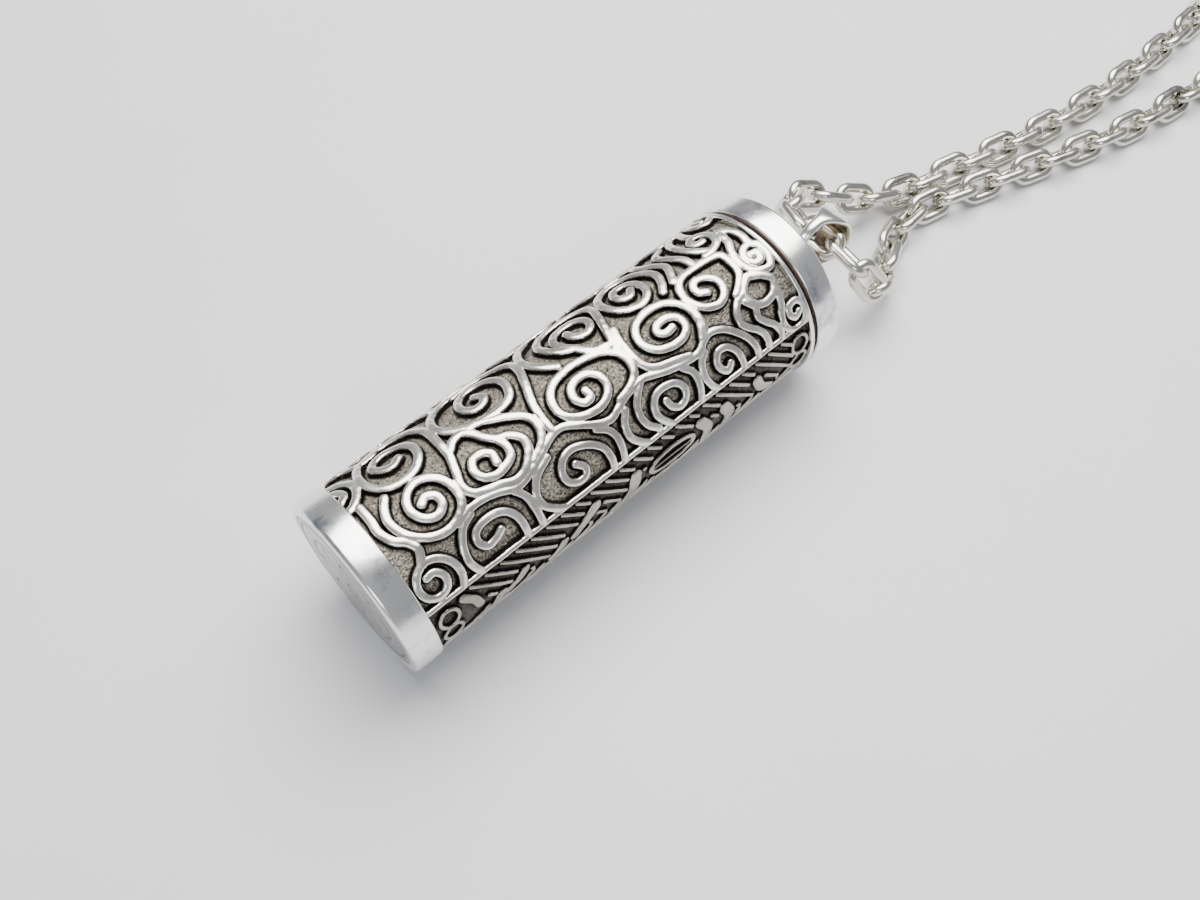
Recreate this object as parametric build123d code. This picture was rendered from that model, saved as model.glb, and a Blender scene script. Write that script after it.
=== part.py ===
"""Screw-cap capsule pendant on a cable chain, lying on its side.

Frame: +X runs along the capsule from its base to its bail, +Z is up, and the capsule rests on z = 0.
Lengths are in millimetres. "Radius" in an outline is measured from the capsule's own axis.
"""
import math
import os

from build123d import *

# Capsule
OUTER_R = 15.0 / 2
BODY_LENGTH = 42.8
BAND_WIDTH = 2.4
SEAM_GAP = 0.4
RIM_FILLET = 0.4
EDGE_FILLET = 0.15
SOLDER_GAP = 0.02

# Vessel
TUBE_OUTER_R = 6.9
TUBE_INNER_R = 6.1
PLATE_R = 6.6
PLATE_THICKNESS = 1.2
LIP_WIDTH = 0.4
PANEL_START_DEG = 65.0
PANEL_SPAN_DEG = 60.0
PANEL_TOP_R = 7.3

# Screw closure
MOUTH_R = 5.0
THREAD_CLEARANCE = 0.08
BUSH_LENGTH = 6.0
PLUG_LENGTH = 5.4
PLUG_BORE_R = 3.7
PLUG_CHAMFER = 0.2
GASKET_R = 7.0
GASKET_CLEARANCE = 0.04

# Cap top, eyelet and bail
DOME_RISE = 0.8
DOME_SHOULDER = 0.2
DOME_BULGE = (0.66, 0.58)
DOME_FLAT_R = 1.5
PLUG_FLANGE = 1.3
EYELET_OUTER_R = 1.6
EYELET_HOLE_R = 0.95
EYELET_THICKNESS = 1.0
EYELET_FOOT_R = 1.1
EYELET_FOOT = 0.4
BAIL_OUTER_R = 3.0
BAIL_WALL = 0.7
BAIL_WIDTH = 3.0
BAIL_NECK = 1.0

# Chain
LINK_LENGTH = 4.4
LINK_WIDTH = 3.0
LINK_WIRE = 0.8
CHAIN_HEIGHT = 2.4

# Tied hank of the chain's put-away length, two chains high
HANK_CENTRE = (104.4, -5.0)
HANK_STRAIGHT = 20.0
HANK_INNER_R = 4.1
HANK_OUTER_R = 10.4
TIE_THICKNESS = 0.25
TIE_WIDTH = 1.6

# Clasp, drawn along +U from its tail to its nose, V to its open side
CLASP_THICKNESS = 2.4
CLASP_OVAL = (4.6, 3.1)
CLASP_WALL = 1.15
CLASP_CENTRE_U = -0.3
CLASP_TURN_DEG = 180.0
GATE_START_U = -2.0
GATE_END_U = 3.1
GATE_FLOOR_V = 1.0
PIVOT = (-2.9, 1.7)
CHEEK_R = 1.3
SLOT_R = 1.65
LEVER_BOTTOM = -0.55
LEVER_TOP = 0.25
LEVER_TIP_U = 2.8
LEVER_BOSS_R = 0.95
SLOT_BOTTOM = -0.7
SLOT_TOP = 0.8
PIN_R = 0.35
PIN_CLEARANCE = 0.05
SPRING_WALL = 0.25
TAB = (0.2, 3.1)
TAB_R = 0.55
TAIL_R = 1.2
TAIL_HOLE_R = 0.6
TAIL_THICKNESS = 1.0
RING_WIRE = 0.7
JUMP_RING_R = 1.75
END_RING_R = 2.0
END_RING_U = 7.4
END_RING_Z = 0.77
END_RING_TILT_DEG = 11.5

CAPSULE_TO_EYELET = DOME_RISE + EYELET_FOOT / 2 + EYELET_OUTER_R
EYELET_TO_BAIL = BAIL_OUTER_R - BAIL_WALL / 2
REACH = CAPSULE_TO_EYELET + EYELET_TO_BAIL + BAIL_OUTER_R

BASE_X = -(BODY_LENGTH + REACH) / 2
SLEEVE_START = BASE_X + BAND_WIDTH
CAP_TOP = BASE_X + BODY_LENGTH
CAP_START = CAP_TOP - BAND_WIDTH
MOUTH_X = CAP_START - SEAM_GAP
LIP_START = MOUTH_X - LIP_WIDTH
EYELET_X = CAP_TOP + CAPSULE_TO_EYELET
BAIL_X = EYELET_X + EYELET_TO_BAIL
CAPSULE_AXIS = Axis((0, 0, OUTER_R), (1, 0, 0))
BAIL_LINK_X = BAIL_X + 0.75
STRAND_START = LINK_LENGTH / 2 + 0.1
FLOOR_Z = CHAIN_HEIGHT / 2
UPPER_Z = FLOOR_Z + CHAIN_HEIGHT
TAIL_U = -CLASP_OVAL[0] - TAIL_R * 0.7


def turned(*outline):
    """A solid of revolution about the capsule's axis from (x, radius) corners."""
    corners = [(x, 0, OUTER_R + radius) for x, radius in outline]
    return revolve(make_face(Polyline(*corners, close=True)), CAPSULE_AXIS)


def rounded(solid, x, radius, size):
    """The solid with its circular edge at x and radius from the axis rounded."""
    edges = [e for e in solid.edges().filter_by(GeomType.CIRCLE)
             if abs(e.arc_center.X - x) < 1e-4 and abs(e.radius - radius) < 1e-4]
    return fillet(edges, size)


def sector(start_deg, span_deg, x0, x1):
    """A wedge about the capsule's axis; angles run from the top towards -Y."""
    reach = OUTER_R * 3
    steps = 8
    fan = [start_deg + span_deg * i / steps for i in range(steps + 1)]
    rim = [(x0, -reach * math.sin(math.radians(a)), OUTER_R + reach * math.cos(math.radians(a))) for a in fan]
    face = make_face(Polyline((x0, 0, OUTER_R), *rim, close=True))
    return extrude(face, x1 - x0, dir=(1, 0, 0))


def base_band():
    outer = turned((BASE_X, PLATE_R + SOLDER_GAP), (BASE_X, OUTER_R), (SLEEVE_START, OUTER_R),
                   (SLEEVE_START, TUBE_OUTER_R + SOLDER_GAP),
                   (BASE_X + PLATE_THICKNESS, TUBE_OUTER_R + SOLDER_GAP),
                   (BASE_X + PLATE_THICKNESS, PLATE_R + SOLDER_GAP))
    return rounded(rounded(outer, BASE_X, OUTER_R, RIM_FILLET), SLEEVE_START, OUTER_R, EDGE_FILLET)


def base_plate():
    plate = turned((BASE_X, 0), (BASE_X, PLATE_R), (BASE_X + PLATE_THICKNESS, PLATE_R),
                   (BASE_X + PLATE_THICKNESS, 0))
    return rounded(plate, BASE_X, PLATE_R, EDGE_FILLET)


def vial_tube():
    start = BASE_X + PLATE_THICKNESS + SOLDER_GAP
    return turned((start, TUBE_INNER_R), (start, TUBE_OUTER_R), (LIP_START, TUBE_OUTER_R),
                  (LIP_START, TUBE_INNER_R))


def sleeve_shell(outer_r):
    start = SLEEVE_START + SOLDER_GAP
    inner = TUBE_OUTER_R + SOLDER_GAP
    end = LIP_START - SOLDER_GAP
    return turned((start, inner), (start, outer_r), (end, outer_r), (end, inner))


def relief_sleeve():
    margin = math.degrees(SOLDER_GAP / OUTER_R)
    slot = sector(PANEL_START_DEG - margin, PANEL_SPAN_DEG + 2 * margin, SLEEVE_START - 1, CAP_START)
    return sleeve_shell(OUTER_R) - slot


def seam_panel():
    strip = sector(PANEL_START_DEG, PANEL_SPAN_DEG, SLEEVE_START - 1, CAP_START)
    return sleeve_shell(PANEL_TOP_R) & strip


def mouth_lip():
    lip = turned((LIP_START, TUBE_OUTER_R + SOLDER_GAP), (LIP_START, OUTER_R),
                 (MOUTH_X, OUTER_R), (MOUTH_X, TUBE_OUTER_R + SOLDER_GAP))
    return rounded(lip, MOUTH_X, OUTER_R, EDGE_FILLET)


def mouth_bush():
    outer = TUBE_INNER_R - SOLDER_GAP
    flange = LIP_START + SOLDER_GAP
    return turned((MOUTH_X - BUSH_LENGTH, MOUTH_R), (MOUTH_X - BUSH_LENGTH, outer), (flange, outer),
                  (flange, TUBE_OUTER_R), (MOUTH_X, TUBE_OUTER_R), (MOUTH_X, MOUTH_R))


def gasket():
    inner = MOUTH_R + GASKET_CLEARANCE
    start = MOUTH_X + GASKET_CLEARANCE
    end = CAP_START - GASKET_CLEARANCE
    return turned((start, inner), (start, GASKET_R), (end, GASKET_R), (end, inner))


def cap_band():
    inner = PLATE_R + SOLDER_GAP
    band = turned((CAP_START, inner), (CAP_START, OUTER_R), (CAP_TOP, OUTER_R), (CAP_TOP, inner))
    return rounded(rounded(band, CAP_TOP, OUTER_R, RIM_FILLET), CAP_START, OUTER_R, EDGE_FILLET)


def screw_plug():
    thread_r = MOUTH_R - THREAD_CLEARANCE
    end = CAP_START - PLUG_LENGTH
    plug = turned((end, PLUG_BORE_R), (end, thread_r), (CAP_START, thread_r), (CAP_START, PLATE_R),
                  (CAP_START + PLUG_FLANGE, PLATE_R), (CAP_START + PLUG_FLANGE, 0),
                  (CAP_START + PLUG_FLANGE / 2, 0), (CAP_START + PLUG_FLANGE / 2, PLUG_BORE_R))
    return chamfer(plug.edges().filter_by(GeomType.CIRCLE).sort_by(Axis.X)[0], PLUG_CHAMFER)


def cap_dome():
    start = CAP_START + PLUG_FLANGE + SOLDER_GAP
    top = CAP_TOP + DOME_RISE
    shoulder = CAP_TOP - DOME_SHOULDER
    bulge_x = CAP_TOP + DOME_RISE * DOME_BULGE[0]
    bulge_r = PLATE_R * DOME_BULGE[1]
    outline = [
        Line((start, 0, OUTER_R), (start, 0, OUTER_R + PLATE_R)),
        Line((start, 0, OUTER_R + PLATE_R), (shoulder, 0, OUTER_R + PLATE_R)),
        ThreePointArc((shoulder, 0, OUTER_R + PLATE_R), (bulge_x, 0, OUTER_R + bulge_r),
                      (top, 0, OUTER_R + DOME_FLAT_R)),
        Line((top, 0, OUTER_R + DOME_FLAT_R), (top, 0, OUTER_R)),
        Line((top, 0, OUTER_R), (start, 0, OUTER_R)),
    ]
    return revolve(make_face(outline), CAPSULE_AXIS)


def eyelet():
    """A small upright loop, its hole along Z, on a round foot."""
    blank = Cylinder(EYELET_OUTER_R, EYELET_THICKNESS) - Cylinder(EYELET_HOLE_R, EYELET_THICKNESS)
    loop = Pos(EYELET_X, 0, OUTER_R) * fillet(blank.edges().filter_by(GeomType.CIRCLE), 0.2)
    foot_start = CAP_TOP + DOME_RISE
    foot_length = EYELET_X - EYELET_HOLE_R - 0.2 - foot_start
    foot = Cylinder(EYELET_FOOT_R, foot_length)
    return loop + Pos(foot_start + foot_length / 2, 0, OUTER_R) * Rot(0, 90, 0) * foot


def bail():
    """A wide ring that narrows to a neck where it passes through the eyelet."""
    place = Pos(BAIL_X, 0, OUTER_R) * Rot(90, 0, 0)
    ring = place * (Cylinder(BAIL_OUTER_R, BAIL_WIDTH) - Cylinder(BAIL_OUTER_R - BAIL_WALL, BAIL_WIDTH))
    neck_end = EYELET_X + EYELET_TO_BAIL * 0.25
    wide_from = BAIL_X + BAIL_OUTER_R * 0.25
    far = BAIL_X + BAIL_OUTER_R + 1
    near = EYELET_X - 2
    neck = BAIL_NECK / 2
    wide = BAIL_WIDTH / 2
    plan = Polyline((near, neck), (neck_end, neck), (wide_from, wide), (far, wide),
                    (far, -wide), (wide_from, -wide), (neck_end, -neck), (near, -neck), close=True)
    taper = extrude(make_face(plan), OUTER_R * 2)
    shaped = ring & taper
    rims = [e for e in shaped.edges().filter_by(GeomType.CIRCLE) if abs(abs(e.arc_center.Y) - wide) < 1e-4]
    return fillet(rims, 0.2)


def oval_link():
    """A chain link in the XY plane, its length along X."""
    half = (LINK_LENGTH - LINK_WIDTH) / 2
    bend = (LINK_WIDTH - LINK_WIRE) / 2
    path = Wire([
        Line((-half, bend), (half, bend)),
        ThreePointArc((half, bend), (half + bend, 0), (half, -bend)),
        Line((half, -bend), (-half, -bend)),
        ThreePointArc((-half, -bend), (-half - bend, 0), (-half, bend)),
    ])
    section = Plane(origin=(0, bend, 0), z_dir=(1, 0, 0)) * Circle(LINK_WIRE / 2)
    return sweep(section, path)


def bail_link():
    """The one link that passes through the bail, its length along Y."""
    return Pos(BAIL_LINK_X, 0, OUTER_R) * Rot(0, -45, 0) * Rot(0, 0, 90) * oval_link()


# Each strand's route, chosen by hand: it leaves the bail link, drops to the floor and runs to the hank.
LEFT_ROUTE = [
    (BAIL_LINK_X, STRAND_START, OUTER_R),
    (23.7, 4.7, 7.3),
    (25.6, 6.0, 6.3),
    (28.4, 5.4, 4.9),
    (31.4, 4.0, 3.3),
    (34.7, 2.9, 1.9),
    (38.6, 2.0, FLOOR_Z),
    (43.4, 0.6, FLOOR_Z),
    (49.4, -1.0, FLOOR_Z),
    (56.4, -2.3, FLOOR_Z),
    (64.4, -3.0, FLOOR_Z),
    (72.6, -2.8, FLOOR_Z),
    (79.4, -2.4, FLOOR_Z),
    (84.8, 0.2, FLOOR_Z),
    (89.0, 3.2, FLOOR_Z),
    (94.4, 4.2, FLOOR_Z),
]
RIGHT_ROUTE = [
    (BAIL_LINK_X, -STRAND_START, OUTER_R),
    (23.4, -4.6, 6.9),
    (24.2, -6.0, 5.1),
    (26.1, -5.6, 3.2),
    (28.9, -3.6, 1.9),
    (32.4, -1.6, FLOOR_Z),
    (36.8, -0.9, FLOOR_Z),
    (41.6, -2.2, FLOOR_Z),
    (47.8, -4.0, FLOOR_Z),
    (54.6, -6.2, FLOOR_Z),
    (61.8, -7.9, FLOOR_Z),
    (69.2, -8.6, FLOOR_Z),
    (75.4, -10.2, FLOOR_Z),
    (80.8, -12.6, 1.6),
    (86.6, -14.0, 3.3),
    (94.4, -14.2, UPPER_Z),
]


def arc_radii(route):
    """The radius at each inner point: 0.45 of the shorter run over the tangent of half the turn."""
    radii = []
    for before, here, after in zip(route, route[1:], route[2:]):
        arriving = Vector(here) - Vector(before)
        leaving = Vector(after) - Vector(here)
        half_turn = math.radians(arriving.get_angle(leaving)) / 2
        radii.append(0.45 * min(arriving.length, leaving.length) / math.tan(half_turn))
    return radii


def strand(name, route):
    """A plain round tube along a route of straight runs and tangent arcs."""
    radii = arc_radii(route)
    path = FilletPolyline(*route, radius=radii)
    start = Vector(route[1]) - Vector(route[0])
    section = Plane(origin=route[0], z_dir=start) * Circle(CHAIN_HEIGHT / 2)
    tube = sweep(section, path)
    ideal = math.pi * (CHAIN_HEIGHT / 2) ** 2 * path.length
    print(name, "length", round(path.length, 1), "radii", [round(r, 1) for r in radii],
          "volume / ideal", round(tube.volume / ideal, 4))
    return tube


def chain_hank():
    """The outer shape of the folded chain: a long loop, two chains high."""
    x, y = HANK_CENTRE
    height = 2 * CHAIN_HEIGHT
    outer = extrude(SlotCenterToCenter(HANK_STRAIGHT, 2 * HANK_OUTER_R), height)
    inner = extrude(SlotCenterToCenter(HANK_STRAIGHT, 2 * HANK_INNER_R), height)
    return Pos(x, y, 0) * (outer - inner)


def hank_tie(side):
    """A flat loop round one long side of the hank."""
    x, y = HANK_CENTRE
    middle = (HANK_INNER_R + HANK_OUTER_R) / 2
    width = HANK_OUTER_R - HANK_INNER_R + 2 * TIE_THICKNESS
    height = 2 * CHAIN_HEIGHT + TIE_THICKNESS
    outer = Box(TIE_WIDTH, width, height)
    inner = Box(TIE_WIDTH, width - 2 * TIE_THICKNESS, height - 2 * TIE_THICKNESS)
    return Pos(x, y + side * middle, height / 2) * (outer - inner)


def at_clasp(shape):
    """Places a clasp piece, drawn about the clasp's own centre, in the middle of the hank."""
    x, y = HANK_CENTRE
    return Pos(x, y, CLASP_THICKNESS / 2) * Rot(0, 0, CLASP_TURN_DEG) * Pos(CLASP_CENTRE_U, 0, 0) * shape


def slab(u0, u1, v0, v1, z0, z1):
    return Pos((u0 + u1) / 2, (v0 + v1) / 2, (z0 + z1) / 2) * Box(u1 - u0, v1 - v0, z1 - z0)


def disc(centre, radius, z0, z1):
    return Pos(centre[0], centre[1], (z0 + z1) / 2) * Cylinder(radius, z1 - z0)


def oval_ring(z0, z1):
    """The band between the clasp's outer and inner ovals."""
    a, b = CLASP_OVAL
    outer = extrude(Ellipse(a, b), z1 - z0)
    inner = extrude(Ellipse(a - CLASP_WALL, b - CLASP_WALL), z1 - z0)
    return Pos(0, 0, z0) * (outer - inner)


def clasp_body():
    """The hook: open on its V side for the lever, with a slotted cheek and an upright tail loop."""
    half = CLASP_THICKNESS / 2
    hook = oval_ring(-half, half) - slab(GATE_START_U, GATE_END_U, GATE_FLOOR_V, 2 * CLASP_OVAL[1], -half, half)
    cheek = disc(PIVOT, CHEEK_R, -half, half)
    slot = disc(PIVOT, SLOT_R, SLOT_BOTTOM, SLOT_TOP)
    bore = disc(PIVOT, PIN_R, -half, half)
    upright = Pos(TAIL_U, 0, 0) * Rot(90, 0, 0)
    tail = upright * Cylinder(TAIL_R, TAIL_THICKNESS) - oval_ring(-half, half)
    hole = upright * Cylinder(TAIL_HOLE_R, TAIL_THICKNESS * 2)
    return (hook + cheek - slot - bore + tail) - hole


def clasp_lever():
    """The gate that closes the hook, with its thumb tab, turning on the pivot pin."""
    gate = slab(PIVOT[0], LEVER_TIP_U, GATE_FLOOR_V, 2 * CLASP_OVAL[1], LEVER_BOTTOM, LEVER_TOP)
    arm = oval_ring(LEVER_BOTTOM, LEVER_TOP) & gate
    boss = disc(PIVOT, LEVER_BOSS_R, LEVER_BOTTOM, LEVER_TOP)
    tab = disc(TAB, TAB_R, LEVER_BOTTOM, LEVER_TOP)
    bore = disc(PIVOT, PIN_R + PIN_CLEARANCE, LEVER_BOTTOM, LEVER_TOP)
    return arm + boss + tab - bore


def clasp_pin():
    half = CLASP_THICKNESS / 2
    return disc(PIVOT, PIN_R, -half, half)


def clasp_spring():
    """The outer shape of the lever's small coil spring, round the pin above the lever."""
    inner = PIN_R + PIN_CLEARANCE
    bottom = LEVER_TOP + PIN_CLEARANCE
    top = SLOT_TOP - PIN_CLEARANCE
    return disc(PIVOT, inner + SPRING_WALL, bottom, top) - disc(PIVOT, inner, bottom, top)


def jump_ring():
    return Pos(TAIL_U - JUMP_RING_R, 0, 0) * Torus(JUMP_RING_R, RING_WIRE / 2)


def end_ring():
    """The ring on the right strand's end, one side lifted by the last link."""
    x, y = HANK_CENTRE
    return Pos(x - END_RING_U, y, END_RING_Z) * Rot(END_RING_TILT_DEG, 0, 0) * Torus(END_RING_R, RING_WIRE / 2)


NODES = {
    "base_band": base_band(),
    "base_plate": base_plate(),
    "vial_tube": vial_tube(),
    "relief_sleeve": relief_sleeve(),
    "seam_panel": seam_panel(),
    "mouth_lip": mouth_lip(),
    "mouth_bush": mouth_bush(),
    "gasket": gasket(),
    "cap_band": cap_band(),
    "screw_plug": screw_plug(),
    "cap_dome": cap_dome(),
    "eyelet": eyelet(),
    "bail": bail(),
    "bail_link": bail_link(),
    "chain_strand_left": strand("left", LEFT_ROUTE),
    "chain_strand_right": strand("right", RIGHT_ROUTE),
    "chain_hank": chain_hank(),
    "hank_tie_near": hank_tie(-1),
    "hank_tie_far": hank_tie(1),
    "clasp_body": at_clasp(clasp_body()),
    "clasp_lever": at_clasp(clasp_lever()),
    "clasp_pin": at_clasp(clasp_pin()),
    "clasp_spring": at_clasp(clasp_spring()),
    "jump_ring": at_clasp(jump_ring()),
    "end_ring": end_ring(),
}

os.makedirs("parts", exist_ok=True)
for name, shape in NODES.items():
    export_step(shape, f"parts/{name}.step")
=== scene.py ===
"""Screw-cap capsule pendant on a cable chain, on a pale floor. Lengths are in mm until a mesh is made."""
import math

import bmesh
import bpy
import numpy as np
from mathutils import Matrix, Vector
from mathutils.kdtree import KDTree


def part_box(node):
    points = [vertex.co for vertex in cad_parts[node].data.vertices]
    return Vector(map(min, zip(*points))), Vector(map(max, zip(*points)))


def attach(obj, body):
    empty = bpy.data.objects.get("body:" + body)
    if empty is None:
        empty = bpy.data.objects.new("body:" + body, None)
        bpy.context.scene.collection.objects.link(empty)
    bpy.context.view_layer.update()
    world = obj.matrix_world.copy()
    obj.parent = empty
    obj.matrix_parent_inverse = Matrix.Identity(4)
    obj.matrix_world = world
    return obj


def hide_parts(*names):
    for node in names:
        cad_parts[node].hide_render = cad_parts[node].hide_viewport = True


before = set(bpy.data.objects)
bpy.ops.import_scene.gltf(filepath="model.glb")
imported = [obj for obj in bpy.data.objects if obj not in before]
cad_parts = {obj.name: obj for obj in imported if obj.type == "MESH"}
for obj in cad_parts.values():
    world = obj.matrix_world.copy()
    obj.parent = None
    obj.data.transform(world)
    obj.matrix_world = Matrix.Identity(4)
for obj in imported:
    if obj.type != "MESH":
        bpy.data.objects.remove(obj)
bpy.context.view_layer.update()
MM = 0.001

# The capsule, as in the CAD: places along its axis, radii and lengths
OUTER_R = 7.5
BODY_MID = -4.125
BASE_X = -25.525
SLEEVE_START = -23.125
LIP_START = 14.075
MOUTH_X = 14.475
CAP_START = 14.875
CAP_TOP = 17.275
EYELET_X = 19.875
BAIL_X = 22.525
BAIL_LINK_X = 23.275
TUBE_OUTER_R = 6.9
TUBE_INNER_R = 6.1
PLATE_R = 6.6
PLATE_THICKNESS = 1.2
MOUTH_R = 5.0
PLUG_R = 4.92
PLUG_BORE_R = 3.7
PLUG_LENGTH = 5.4
FLANGE_THICKNESS = 1.3
BUSH_LENGTH = 6.0
THREAD_PITCH = 1.0
THREAD_DEPTH = 0.42
WASHER_R = 7.0
DOME_RISE = 0.8
EYELET_R = 1.275
BAIL_R = 2.65
GAP = 0.02

# The relief
FLOOR_R = 6.96
RIDGE_R = 7.47
PANEL_RIDGE_R = 7.28
PANEL_START_DEG = 65.0
PANEL_SPAN_DEG = 60.0
CELL = 0.065
WALL = 0.13
CROWN = 0.10
CROWN_WIDTH = 0.36
# How far the black at a ridge's foot reaches: partly oxide in the hollows, partly painted shade at the
# walls.
FOOT_START = 0.06
FOOT_WIDTH = 0.22
ARC_MM = OUTER_R * math.pi / 180

# The chain: its links, its height on the floor and in the hank's upper layer, and the hank's loops
LINK_LENGTH = 4.66
LINK_WIDTH = 2.95
LINK_WIRE = 0.92
PITCH = 2.81
FIRST_LINK = 0.6
LAST_LINK = 1.05
LOWER_Z = 1.3
UPPER_Z = 3.6
HANK_CENTRE = (104.4, -5.0)
HANK_HALF = 10.0
HANK_R = 9.2
HANK_HALVES = 3
LANE = 2.6

# The clasp in its own frame (u, v, z), with SLOT, LEVER and SPRING as (low, high) in z, and the two rings
CLASP_U = 0.3
CLASP_HALF = 1.2
CLASP_OVAL = (4.6, 3.1)
CLASP_WALL = 1.15
BAR_END = 0.5
TAIL_U = -5.44
PIVOT = (-2.9, 1.7)
SLOT = (-0.7, 0.8)
LEVER = (-0.55, 0.25)
THUMB_TAB = (0.2, 3.1)
SPRING = (0.36, 0.68)
SPRING_R = 0.53
SPRING_TURNS = 3
RING_WIRE_R = 0.34
JUMP_RING_R = 1.75
END_RING_R = 2.0
END_RING_TILT_DEG = 11.5

# The camera and the floor
CAMERA_PLACE = (-34.035, -39.89, 86.22)
CAMERA_FORWARD = (0.32122, 0.40064, -0.85808)
CAMERA_RIGHT = (0.7508, -0.65998, -0.02708)
FLOOR_HALF = 1500.0


# -------- meshes

def placed(name, data):
    """A new object in the scene."""
    obj = bpy.data.objects.new(name, data)
    bpy.context.scene.collection.objects.link(obj)
    return obj


def make_mesh(name, verts, faces, attribute=None, sharp_deg=38.0):
    """An object from points in mm and faces; attribute is {name: one number per point}."""
    mesh = bpy.data.meshes.new(name)
    mesh.from_pydata([tuple(v) for v in np.asarray(verts, dtype=float) * MM], [], faces)
    for key, values in (attribute or {}).items():
        layer = mesh.attributes.new(key, "FLOAT", "POINT")
        layer.data.foreach_set("value", np.asarray(values, dtype=np.float32))
    mesh.shade_smooth()
    if sharp_deg:
        mesh.set_sharp_from_angle(angle=math.radians(sharp_deg))
    return placed(name, mesh)


def grid_faces(rows, columns, close_rows=False, close_columns=False):
    """Quads of a grid of points stored row by row."""
    row = np.arange(rows if close_rows else rows - 1)
    column = np.arange(columns if close_columns else columns - 1)
    r, c = np.meshgrid(row, column, indexing="ij")
    r2 = (r + 1) % rows
    c2 = (c + 1) % columns
    quads = np.stack([r * columns + c, r * columns + c2, r2 * columns + c2, r2 * columns + c], axis=-1)
    return quads.reshape(-1, 4).tolist()


def turned(x, r, angle):
    """Points from places along the capsule's axis, radii and angles from its top."""
    columns = np.broadcast_arrays(x, r * np.sin(angle), OUTER_R + r * np.cos(angle))
    return np.stack(columns, axis=-1).reshape(-1, 3)


def circle_angles(count):
    return np.arange(count) * 2 * math.pi / count


def soft_outline(corners, steps=7):
    """A closed outline of (x, radius) points from (x, radius, fillet) corners."""
    outline = []
    count = len(corners)
    for i, (x, r, fillet) in enumerate(corners):
        here = Vector((x, r))
        if fillet <= 0:
            outline.append((x, r))
            continue
        before = Vector(corners[i - 1][:2]) - here
        after = Vector(corners[(i + 1) % count][:2]) - here
        half = before.angle(after) / 2
        reach = min(fillet / math.tan(half), before.length * 0.49, after.length * 0.49)
        radius = reach * math.tan(half)
        bisector = (before.normalized() + after.normalized()).normalized()
        centre = here + bisector * (radius / math.sin(half))
        first = here + before.normalized() * reach - centre
        last = here + after.normalized() * reach - centre
        sweep = first.angle_signed(last)
        for k in range(steps + 1):
            turn = -sweep * k / steps
            spoke = Matrix.Rotation(turn, 2) @ first
            outline.append(tuple(centre + spoke))
    return outline


def turned_solid(name, x, r, segments, sharp_deg):
    """A solid turned about the capsule's axis, from columns of places and radii of its closed outline."""
    verts = turned(x, r, circle_angles(segments))
    obj = make_mesh(name, verts, grid_faces(len(x), segments, True, True), sharp_deg=sharp_deg)
    tidy(obj)
    return obj


def lathe(name, corners, segments=192, sharp_deg=38.0):
    """A turned solid from (x, radius, fillet) corners."""
    outline = np.array(soft_outline(corners))
    return turned_solid(name, outline[:, :1], outline[:, 1:], segments, sharp_deg)


def tidy(obj):
    """Merges the points that meet and turns the faces outwards."""
    distance = 1e-6
    work = bmesh.new()
    work.from_mesh(obj.data)
    bmesh.ops.remove_doubles(work, verts=work.verts, dist=distance)
    bmesh.ops.dissolve_degenerate(work, edges=work.edges, dist=distance)
    bmesh.ops.recalc_face_normals(work, faces=work.faces)
    work.to_mesh(obj.data)
    work.free()


def ring_parts(centre, radius, section, segments, axes):
    """Points and faces of a closed ring; section(angle) gives its (outwards, along the axis) points."""
    out_axis, side_axis, along = axes
    verts = []
    for i in range(segments):
        angle = 2 * math.pi * i / segments
        out = out_axis * math.cos(angle) + side_axis * math.sin(angle)
        verts.extend(centre + out * (radius + o) + along * a for o, a in section(angle))
    return verts, grid_faces(segments, len(verts) // segments, True, True)


def rod_faces(rows, columns):
    """Faces of a rod with closed ends from rows of section points."""
    last = (rows - 1) * columns
    ends = [list(range(columns)), [last + j for j in reversed(range(columns))]]
    return grid_faces(rows, columns, False, True) + ends


def joined(name, parts):
    """One object from several (points, faces) parts."""
    verts, faces = [], []
    for part_verts, part_faces in parts:
        faces.extend([[i + len(verts) for i in face] for face in part_faces])
        verts.extend(part_verts)
    obj = make_mesh(name, verts, faces, sharp_deg=50)
    tidy(obj)
    return obj


def ring_solid(name, centre, radius, section, segments, axes):
    """A closed ring as one object."""
    return joined(name, [ring_parts(centre, radius, section, segments, axes)])


def round_section(half_out, half_along, power=2.0, count=28):
    """A superellipse as (outwards, along) points."""
    points = []
    for i in range(count):
        a = 2 * math.pi * i / count
        c, s = math.cos(a), math.sin(a)
        points.append((half_out * math.copysign(abs(c) ** (2 / power), c),
                       half_along * math.copysign(abs(s) ** (2 / power), s)))
    return points


X = Vector((1, 0, 0))
Y = Vector((0, 1, 0))
Z = Vector((0, 0, 1))


# -------- materials

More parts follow.
